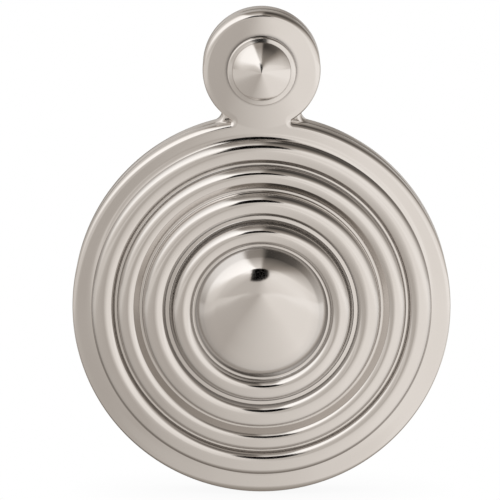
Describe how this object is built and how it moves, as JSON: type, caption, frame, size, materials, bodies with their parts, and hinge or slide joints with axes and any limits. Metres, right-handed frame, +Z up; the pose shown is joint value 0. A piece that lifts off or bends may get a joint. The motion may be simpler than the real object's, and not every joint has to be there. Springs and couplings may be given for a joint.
{
  "type": "covered keyhole escutcheon",
  "caption": "Round keyhole plate with a stepped, reeded swing cover that hangs from a pivot pin in the ear above it, in polished nickel plate.",
  "frame": {"origin": "centre of the disc, on the back face of the backplate, inside the keyhole", "axes": "+Z up towards the pivot, +X to the right seen from the front, +Y backwards into the door: the front faces -Y"},
  "size_m": [0.04, 0.0095, 0.0515],
  "materials": {
    "plate_nickel": "polished",
    "cover_nickel": "polished",
    "pin_nickel": "polished"
  },
  "bodies": {
    "plate": {"backplate": "plate_nickel", "pivot_pin": "pin_nickel"},
    "cover": {"cover": "cover_nickel"}
  },
  "joints": [
    {"name": "cover_swing", "type": "hinge", "parent": "plate", "child": "cover", "pos_m": [0, -0.00392, 0.0253], "axis": [0, 1, 0], "continuous": true}
  ]
}
